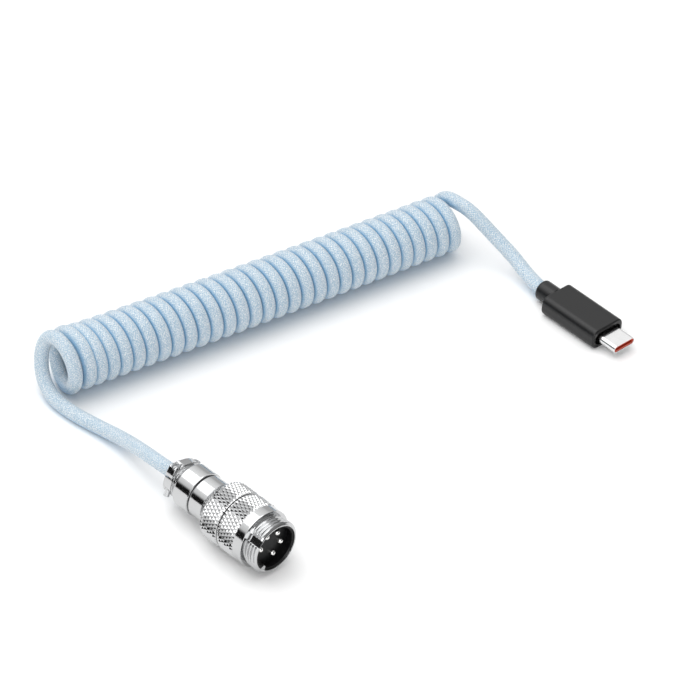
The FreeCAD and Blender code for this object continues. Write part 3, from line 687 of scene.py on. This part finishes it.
def make_saddle():
    """The upper part of the clamp, with chamfered ends and a seat for each screw."""
    mouth = math.acos(SADDLE_FOOT / CLAMP_BORE)
    outline = list(SADDLE_OUTLINE) + arc(CLAMP_BORE, -mouth, mouth, 25)
    shape = prism(outline, CLAMP_START + SADDLE_INSET, CLAMP_END - SADDLE_INSET)
    saddle = mesh_piece("clamp_saddle_cut", *shape, "chrome")
    modify(saddle, "BEVEL", width=SADDLE_BEVEL * MM, segments=3, angle_limit=math.radians(25))
    for across in SCREW_PLACES:
        foot, head = [on_clamp(across, CLAMP_MIDDLE, up) for up in SADDLE_HOLE]
        bore(saddle, on_clamp(across, CLAMP_MIDDLE, SCREW_SEAT), head, SCREW_SEAT_RADIUS)
        bore(saddle, foot, head, SCREW_HOLE_RADIUS)
    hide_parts("clamp_saddle")
    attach(saddle, "aviator_end")


# Cord.

CORD_DIAMETER = 4.2 * MM
CORD_RADIUS = CORD_DIAMETER / 2
COIL_START = Vector((-63.5, 76.65, 0)) * MM
COIL_HEADING = math.radians(-9.2)
COIL_AXIS = Vector((math.cos(COIL_HEADING), math.sin(COIL_HEADING), 0))
COIL_FRONT = Vector((math.sin(COIL_HEADING), -math.cos(COIL_HEADING), 0))
COIL_TURNS = 31
COIL_LENGTH = 134.1 * MM
FIRST_TURN_RADIUS = 7.3 * MM
LAST_TURN_RADIUS = 6.65 * MM
PITCH_SWELL = 0.54 * MM
# The first turn is wound wider, and both end turns stand a little off their neighbours.
END_TURN_SWELL = 0.75 * MM
NEAR_OPENING = 1.25 * MM
FAR_OPENING = 1.2 * MM
# The coil lies in a slight bow towards the connectors.
COIL_BOW = 0.5 * MM
POINTS_PER_TURN = 16
# A quadratic spline runs inside the corners of its polygon by this factor.
INSIDE_CORNERS = math.cos(math.pi / POINTS_PER_TURN)
SPLINE_STEPS = 12
RING_SPACING = 0.6 * MM
RING_SIDES = 20
# The braid has this many strands of each hand round the cord.
BRAID_STRANDS = 16

# From the clamp's mouth along the floor, then up behind the coil's near end.
AVIATOR_ROUTE = (
    (-0.0695, 0.01945, 0.0090),
    (-0.0693, 0.0322, 0.0083),
    (-0.0665, 0.0442, 0.0042),
    (-0.0668, 0.0535, 0.0024),
    (-0.0684, 0.0630, 0.0022),
    (-0.0686, 0.0712, 0.0022),
    (-0.0674, 0.0764, 0.0032),
    (-0.0664, 0.0796, 0.0058),
    (-0.0656, 0.0811, 0.0092),
    (-0.0649, 0.0816, 0.0125),
    (-0.0641, 0.0812, 0.0155),
    (-0.0635, 0.0796, 0.0175),
)

# From the top of the coil's far end to the plug's collar.
PLUG_ROUTE = (
    (0.0710, 0.0492, 0.0150),
    (0.0730, 0.0414, 0.0098),
    (0.0740, 0.0336, 0.0062),
    (0.0729, 0.0254, 0.0036),
    (0.0725, 0.02015, 0.0032),
)


def opening(turn):
    """How far along its axis a turn is from an even winding."""
    rise = min(max((turn - 0.35) / 0.4, 0), 1)
    near = rise**2 * (3 - 2 * rise) * math.exp(-max(turn - 0.75, 0))
    far = max(0, turn - COIL_TURNS + 1)
    return NEAR_OPENING * near + FAR_OPENING * far**2


def coil_point(turn):
    """A control point of the helix, that many turns on from the top of the first."""
    share = turn / COIL_TURNS
    angle = 2 * math.pi * turn
    radius = FIRST_TURN_RADIUS + (LAST_TURN_RADIUS - FIRST_TURN_RADIUS) * share
    radius += END_TURN_SWELL * math.exp(-turn / 0.9)
    along = COIL_LENGTH * share - PITCH_SWELL * math.sin(2 * math.pi * share) + opening(turn)
    reach = radius / INSIDE_CORNERS
    side = 4 * COIL_BOW * share * (1 - share)
    place = COIL_START + COIL_AXIS * along + COIL_FRONT * (side + reach * math.sin(angle))
    place.z = radius + CORD_RADIUS + reach * math.cos(angle)
    return place


def cord_route():
    """All control points, and the turn of the coil that each one is at."""
    points = [Vector(p) for p in AVIATOR_ROUTE]
    turns = [0] * len(points)
    for step in range(COIL_TURNS * POINTS_PER_TURN + 1):
        turns.append(step / POINTS_PER_TURN)
        points.append(coil_point(turns[-1]))
    points += [Vector(p) for p in PLUG_ROUTE]
    turns += [COIL_TURNS] * len(PLUG_ROUTE)
    return points, turns


def spline_points(name, points, steps):
    """Points of the NURBS spline with those control points, read from a curve with no bevel."""
    curve = bpy.data.curves.new(name, "CURVE")
    curve.dimensions = "3D"
    curve.resolution_u = steps
    spline = curve.splines.new("NURBS")
    spline.points.add(len(points) - 1)
    for place, point in zip(spline.points, points):
        place.co = (*point, 1)
    spline.order_u = 3
    spline.use_endpoint_u = True
    carrier = bpy.data.objects.new(name, curve)
    mesh = bpy.data.meshes.new_from_object(carrier)
    line = np.array([v.co for v in mesh.vertices], float)
    bpy.data.objects.remove(carrier)
    return line


def thinned(line, spacing):
    """Indices of points at least that far apart along the line, both ends kept."""
    kept = [0]
    for index in range(1, len(line) - 1):
        if np.linalg.norm(line[index] - line[kept[-1]]) >= spacing:
            kept.append(index)
    return kept + [len(line) - 1]


def tube_mesh(line, radius, sides):
    """Corners, faces and, for each ring, its distance along the line."""
    ahead = np.gradient(line, axis=0)
    ahead /= np.linalg.norm(ahead, axis=1)[:, None]
    side = np.cross(ahead[0], (0, 0, 1.0))
    side /= np.linalg.norm(side)
    corners = []
    angles = np.linspace(0, 2 * math.pi, sides, endpoint=False)
    for place, forward in zip(line, ahead):
        side = side - forward * (side @ forward)
        side /= np.linalg.norm(side)
        up = np.cross(side, forward)
        ring = place + radius * (np.cos(angles)[:, None] * side + np.sin(angles)[:, None] * up)
        corners.append(ring)
    faces = []
    for ring in range(len(line) - 1):
        for column in range(sides):
            here = ring * sides + column
            beside = ring * sides + (column + 1) % sides
            faces.append((here, beside, beside + sides, here + sides))
    last = (len(line) - 1) * sides
    faces.append(tuple(reversed(range(sides))))
    faces.append(tuple(range(last, last + sides)))
    steps = np.linalg.norm(np.diff(line, axis=0), axis=1)
    distance = np.concatenate([[0], np.cumsum(steps)])
    return np.concatenate(corners), faces, distance


def cord_uv(mesh, distance, sides, strands, strand_length):
    """UV in strands: around the cord, and along it."""
    layer = mesh.uv_layers.new(name="braid")
    for face in mesh.polygons:
        columns = [mesh.loops[i].vertex_index % sides for i in face.loop_indices]
        wraps = max(columns) - min(columns) > sides // 2
        for i in face.loop_indices:
            ring, column = divmod(mesh.loops[i].vertex_index, sides)
            unrolled = column + sides if wraps and column < sides // 2 else column
            layer.data[i].uv = (unrolled / sides * strands, distance[ring] / strand_length)


def make_cord():
    points, turns = cord_route()
    line = spline_points("cord_line", points, SPLINE_STEPS)
    # The spline passes control point k at step k - 1/2.
    kept = thinned(line, RING_SPACING)
    corners, faces, distance = tube_mesh(line[kept], CORD_RADIUS, RING_SIDES)
    cord = mesh_piece("cord", corners, faces, "braid", crease=60)
    strand_length = math.pi * CORD_DIAMETER / BRAID_STRANDS
    cord_uv(cord.data, distance, RING_SIDES, BRAID_STRANDS, strand_length)
    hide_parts("cord_tail_aviator", "cord_coil", "cord_coil_end", "cord_tail_usb")
    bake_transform(cord)
    print("cord length", round(float(distance[-1]), 4), "faces", len(faces))


# Stage.

CABLE_MIDDLE = Vector((0, 0.03, 0))


def make_stage():
    reach = 3
    corners = [(-reach, -reach, 0), (reach, -reach, 0), (reach, reach, 0), (-reach, reach, 0)]
    mesh = bpy.data.meshes.new("floor")
    mesh.from_pydata(corners, [], [(0, 1, 2, 3)])
    floor = bpy.data.objects.new("floor", mesh)
    bpy.context.scene.collection.objects.link(floor)
    made = Nodes("floor")
    made.set(Base_Color=(0.93, 0.93, 0.93, 1), Roughness=0.8)
    mesh.materials.append(made.material)


def softbox(name, place, size, power):
    """A square light turned to the middle of the cable."""
    data = bpy.data.lights.new(name, "AREA")
    data.shape = "SQUARE"
    data.size = size
    data.energy = power
    light = bpy.data.objects.new(name, data)
    light.location = place
    light.rotation_mode = "QUATERNION"
    light.rotation_quaternion = (CABLE_MIDDLE - light.location).to_track_quat("-Z", "Y")
    bpy.context.scene.collection.objects.link(light)


def make_world():
    """Bright overhead, dim to the front, and low down black to the left and grey to the right."""
    world = bpy.data.worlds.new("studio")
    world.use_nodes = True
    bpy.context.scene.world = world
    tree = world.node_tree
    direction = tree.nodes.new("ShaderNodeTexCoord")
    split = tree.nodes.new("ShaderNodeSeparateXYZ")
    tree.links.new(direction.outputs["Generated"], split.inputs[0])
    low = world_ramp(tree, split.outputs["X"], (-0.5, 0.01), (0.4, 0.6))
    height = world_ramp(tree, split.outputs["Z"], (0.34, 0), (0.46, 1))
    overhead = world_ramp(tree, split.outputs["Z"], (0.4, 0.8), (0.95, 1.5))
    mix = tree.nodes.new("ShaderNodeMix")
    tree.links.new(height, mix.inputs["Factor"])
    tree.links.new(low, mix.inputs["A"])
    tree.links.new(overhead, mix.inputs["B"])
    front = tree.nodes.new("ShaderNodeMath")
    front.operation = "MULTIPLY"
    tree.links.new(mix.outputs["Result"], front.inputs[0])
    tree.links.new(world_ramp(tree, split.outputs["Y"], (-0.6, 0.3), (0.3, 1)), front.inputs[1])
    tree.links.new(front.outputs[0], tree.nodes["Background"].inputs["Color"])


def world_ramp(tree, value, start, end):
    """A ramp of the value between two pairs of value and brightness."""
    ramp = tree.nodes.new("ShaderNodeMapRange")
    tree.links.new(value, ramp.inputs["Value"])
    for name, number in zip(("From Min", "To Min", "From Max", "To Max"), (*start, *end)):
        ramp.inputs[name].default_value = number
    return ramp.outputs[0]


make_camera()
materials = make_materials()
make_cord()
make_front_shell()
make_rear_shell()
make_clamp_body()
make_saddle()

slots = {row["node"]: row["material_slot"] for row in frame["record"]["subparts"]}
for name, node in frame["nodes"].items():
    node.data.materials.clear()
    node.data.materials.append(materials[slots[name]])

make_stage()
softbox("key", (-0.3, 0.5, 1.8), 2, 18)
softbox("fill", (-0.9, -0.9, 0.6), 1, 8)
make_world()
bpy.context.scene.view_settings.view_transform = "Standard"
